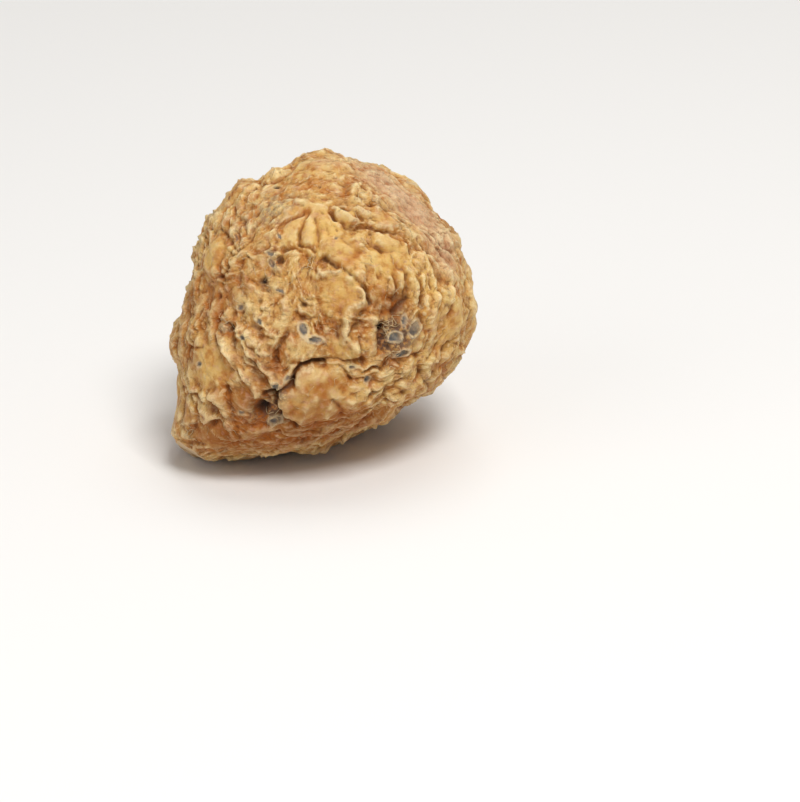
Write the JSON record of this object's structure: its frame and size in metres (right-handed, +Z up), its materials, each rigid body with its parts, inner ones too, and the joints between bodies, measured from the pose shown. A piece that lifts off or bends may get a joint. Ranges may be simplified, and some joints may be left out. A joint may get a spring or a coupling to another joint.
{
  "type": "dried maca root",
  "caption": "Dried, deeply wrinkled knobbly root, roughly turnip-shaped, with a flat trimmed crown face and a broken tap-root stub; lies on a small flat spot.",
  "frame": {"origin": "on the surface that the root lies on, under the middle of its bounding box", "axes": "+Z up, away from the surface that the root lies on; the front, as pictured, faces -Y and +X is to its right, with the trimmed crown face low at -X and the tap-root stub at the back, +Y"},
  "size_m": [0.0442, 0.046, 0.0437],
  "materials": {
    "dried_skin": "matt, dry ochre skin with pale crests, orange-brown creases and dark rootlet pits"
  },
  "bodies": {
    "root": {"maca_root": "dried_skin"}
  },
  "joints": []
}
